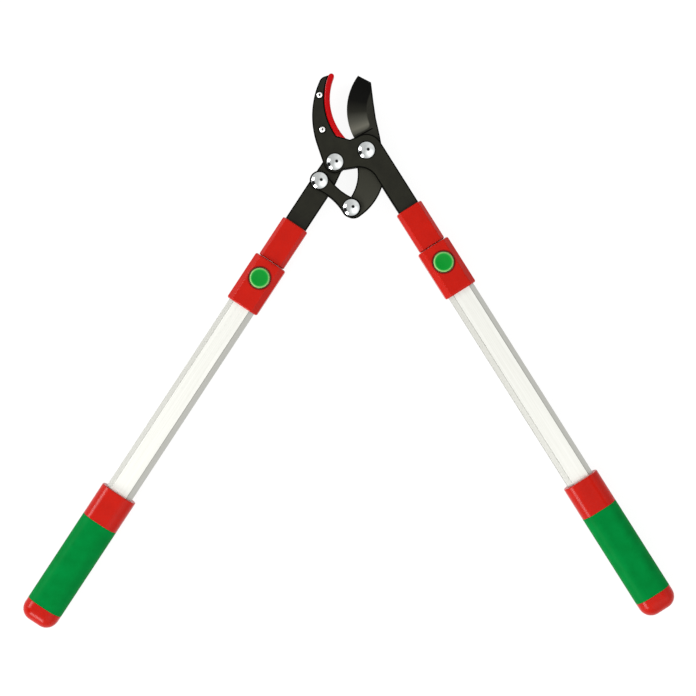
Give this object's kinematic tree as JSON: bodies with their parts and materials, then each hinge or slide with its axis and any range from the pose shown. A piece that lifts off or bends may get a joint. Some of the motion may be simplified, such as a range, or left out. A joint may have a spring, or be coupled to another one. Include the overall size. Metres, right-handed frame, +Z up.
{
  "type": "anvil lopper",
  "caption": "Garden lopper with a hooked anvil jaw and a link-driven blade on long telescopic handles with push-button locks and soft grips, for cutting branches",
  "frame": {"origin": "on the floor under the middle of the bounding box", "axes": "lying flat and open: X from the left grip to the right grip, Y from the grips to the jaws, Z up to the bolt heads and the lock buttons"},
  "size_m": [0.6824, 0.5809, 0.0317],
  "materials": {
    "coated_steel": "satin black non-stick coating on stamped steel",
    "blade_steel": "black coating on hardened steel, with a ground bevel",
    "pad_plastic": "moulded, glossy",
    "red_plastic": "moulded, half glossy",
    "green_plastic": "moulded, half glossy",
    "green_rubber": "soft moulded thermoplastic rubber, matt",
    "black_plastic": "moulded",
    "aluminium": "drawn and satin anodised",
    "polished_steel": "zinc plated and polished",
    "steel": "zinc plated"
  },
  "bodies": {
    "jaw": {"jaw_front": "coated_steel", "jaw_rear": "coated_steel", "arm_spacer": "coated_steel", "anvil_pad": "pad_plastic", "anvil_rivets": "steel", "blade_washers": "steel", "blade_bolt": "polished_steel", "arm_bolt": "polished_steel", "jaw_nuts": "steel", "right_sleeve": "red_plastic", "right_inner_tube": "aluminium", "right_tang_rivets": "steel", "right_guide_plug": "black_plastic"},
    "arm": {"left_arm": "coated_steel", "link_arm_bolt": "polished_steel", "link_arm_nut": "steel", "left_sleeve": "red_plastic", "left_inner_tube": "aluminium", "left_tang_rivets": "steel", "left_guide_plug": "black_plastic"},
    "blade": {"blade": "blade_steel"},
    "link": {"link_front": "coated_steel", "link_rear": "coated_steel", "link_blade_bolt": "polished_steel", "link_blade_nut": "steel"},
    "left_handle": {"left_outer_tube": "aluminium", "left_lock_housing": "red_plastic", "left_lock_spring": "steel", "left_housing_screws": "steel", "left_grip_core": "red_plastic", "left_grip_sleeve": "green_rubber", "left_grip_cap": "red_plastic"},
    "left_lock_button": {"left_button": "green_plastic"},
    "right_handle": {"right_outer_tube": "aluminium", "right_lock_housing": "red_plastic", "right_lock_spring": "steel", "right_housing_screws": "steel", "right_grip_core": "red_plastic", "right_grip_sleeve": "green_rubber", "right_grip_cap": "red_plastic"},
    "right_lock_button": {"right_button": "green_plastic"}
  },
  "joints": [
    {"name": "arm_swing", "type": "hinge", "parent": "jaw", "child": "arm", "pos_m": [-0.01452, 0.19786, 0.0155], "axis": [0, 0, 1], "range_deg": [-30, 46]},
    {"name": "blade_swing", "type": "hinge", "parent": "jaw", "child": "blade", "pos_m": [0.01854, 0.21022, 0.0155], "axis": [0, 0, 1], "range_deg": [-13.6, 20.6]},
    {"name": "link_swing", "type": "hinge", "parent": "arm", "child": "link", "pos_m": [-0.03072, 0.17842, 0.0155], "axis": [0, 0, 1], "range_deg": [-36, 23.6]},
    {"name": "left_handle_slide", "type": "slide", "parent": "arm", "child": "left_handle", "axis": [-0.549, -0.8358, 0], "range_m": [0, 0.3], "deforming": ["left_lock_spring"]},
    {"name": "right_handle_slide", "type": "slide", "parent": "jaw", "child": "right_handle", "axis": [0.5344, -0.8453, 0], "range_m": [0, 0.3], "deforming": ["right_lock_spring"]},
    {"name": "left_button_press", "type": "slide", "parent": "left_handle", "child": "left_lock_button", "axis": [0, 0, -1], "range_m": [0, 0.0019], "stiffness_N_per_m": 800, "springref_m": -0.003, "deforming": ["left_lock_spring"]},
    {"name": "right_button_press", "type": "slide", "parent": "right_handle", "child": "right_lock_button", "axis": [0, 0, -1], "range_m": [0, 0.0019], "stiffness_N_per_m": 800, "springref_m": -0.003, "deforming": ["right_lock_spring"]}
  ],
  "couplings": [
    {"joint": "blade_swing", "follows": "arm_swing", "ratio": 0.44257},
    {"joint": "link_swing", "follows": "arm_swing", "ratio": -0.776}
  ]
}
